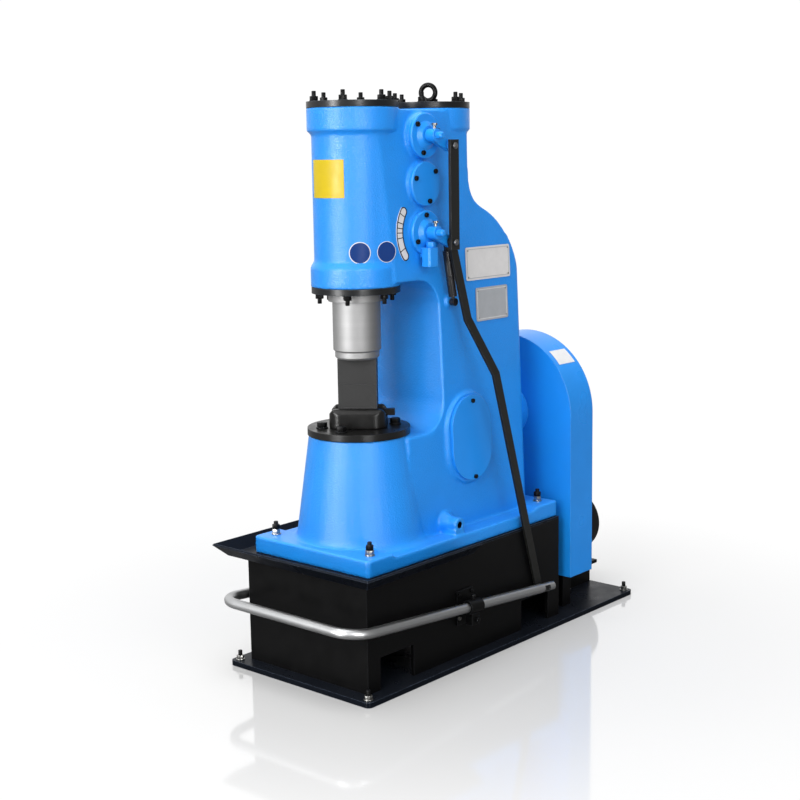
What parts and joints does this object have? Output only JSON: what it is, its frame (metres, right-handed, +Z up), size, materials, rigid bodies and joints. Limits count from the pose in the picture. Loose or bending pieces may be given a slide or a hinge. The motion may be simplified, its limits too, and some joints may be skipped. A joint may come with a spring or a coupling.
{
  "type": "pneumatic forging hammer",
  "caption": "Self-contained pneumatic forging hammer: C-frame casting with twin upright cylinders, ram and dies over a round anvil, on a welded base with drip tray and foot treadle.",
  "frame": {"origin": "centre of the base plate's underside, on the floor", "axes": "+Z up, -Y towards the operator at the anvil end, +X to the side with the valves and linkage"},
  "size_m": [0.564, 1.3309, 1.546],
  "materials": {
    "blue_enamel": "gloss",
    "black_paint": "satin",
    "motor_paint": "satin",
    "turned_steel": "turned",
    "die_steel": "oiled",
    "dark_iron": "oiled",
    "zinc_pipe": "galvanised",
    "white_plate": "printed"
  },
  "bodies": {
    "frame": {"base_plate": "black_paint", "pedestal": "black_paint", "drip_tray": "black_paint", "hammer_frame": "blue_enamel", "cylinder_cover": "black_paint", "compressor_cover": "black_paint", "bottom_cover": "black_paint", "ram_gland": "turned_steel", "lower_die": "die_steel", "die_holder": "dark_iron", "die_key": "die_steel", "anvil_plate": "dark_iron", "lifting_eye": "black_paint", "upper_valve_cover": "blue_enamel", "blank_valve_cover": "blue_enamel", "lower_valve_cover": "blue_enamel", "strut_stud": "turned_steel", "index_plate": "white_plate", "access_cover": "blue_enamel", "belt_guard": "blue_enamel", "guard_foot_right": "black_paint", "guard_foot_left": "black_paint", "motor_body": "motor_paint", "motor_cowl": "motor_paint", "terminal_box": "motor_paint", "motor_stand": "black_paint", "bracket_right": "black_paint", "bracket_left": "black_paint"},
    "ram": {"ram": "turned_steel", "upper_die": "die_steel"},
    "treadle": {"treadle_bar": "zinc_pipe", "clamp_right": "black_paint", "clamp_left": "black_paint"},
    "lower_lever": {"lower_valve_lever": "blue_enamel"},
    "upper_lever": {"upper_valve_lever": "blue_enamel"},
    "link": {"link_bar": "black_paint"},
    "rod": {"treadle_rod": "black_paint"},
    "strut_tube": {"strut_tube": "black_paint"},
    "strut_rod": {"strut_rod": "turned_steel"}
  },
  "joints": [
    {"name": "ram_slide", "type": "slide", "parent": "frame", "child": "ram", "axis": [0, 0, 1], "range_m": [0, 0.15]},
    {"name": "treadle_press", "type": "hinge", "parent": "frame", "child": "treadle", "pos_m": [0, -0.18, 0.157], "axis": [1, 0, 0], "range_deg": [0, 9.36], "stiffness_Nm_per_rad": 20, "springref_deg": -22.92},
    {"name": "lower_lever_turn", "type": "hinge", "parent": "frame", "child": "lower_lever", "pos_m": [0.15, -0.21, 1.154], "axis": [1, 0, 0], "range_deg": [0, 50.79]},
    {"name": "upper_lever_turn", "type": "hinge", "parent": "frame", "child": "upper_lever", "pos_m": [0.15, -0.21, 1.403], "axis": [1, 0, 0], "range_deg": [0, 50.79]},
    {"name": "link_turn", "type": "hinge", "parent": "lower_lever", "child": "link", "pos_m": [0.17, -0.153, 1.127], "axis": [1, 0, 0], "range_deg": [-50.79, 0]},
    {"name": "rod_turn", "type": "hinge", "parent": "lower_lever", "child": "rod", "pos_m": [0.165, -0.153, 1.127], "axis": [1, 0, 0], "range_deg": [-50.79, 0]},
    {"name": "strut_turn", "type": "hinge", "parent": "lower_lever", "child": "strut_tube", "pos_m": [0.143, -0.153, 1.127], "axis": [1, 0, 0], "range_deg": [-53.49, 0]},
    {"name": "strut_extend", "type": "slide", "parent": "strut_tube", "child": "strut_rod", "axis": [0, 0.1891, -0.982], "range_m": [0, 0.05347]}
  ],
  "couplings": [
    {"joint": "lower_lever_turn", "follows": "treadle_press", "ratio": 5.4172},
    {"joint": "upper_lever_turn", "follows": "treadle_press", "ratio": 5.4172},
    {"joint": "link_turn", "follows": "treadle_press", "ratio": -5.4172},
    {"joint": "rod_turn", "follows": "treadle_press", "ratio": -5.4172},
    {"joint": "strut_turn", "follows": "treadle_press", "ratio": -5.705},
    {"joint": "strut_extend", "follows": "treadle_press", "m_per_rad": 0.32614}
  ]
}
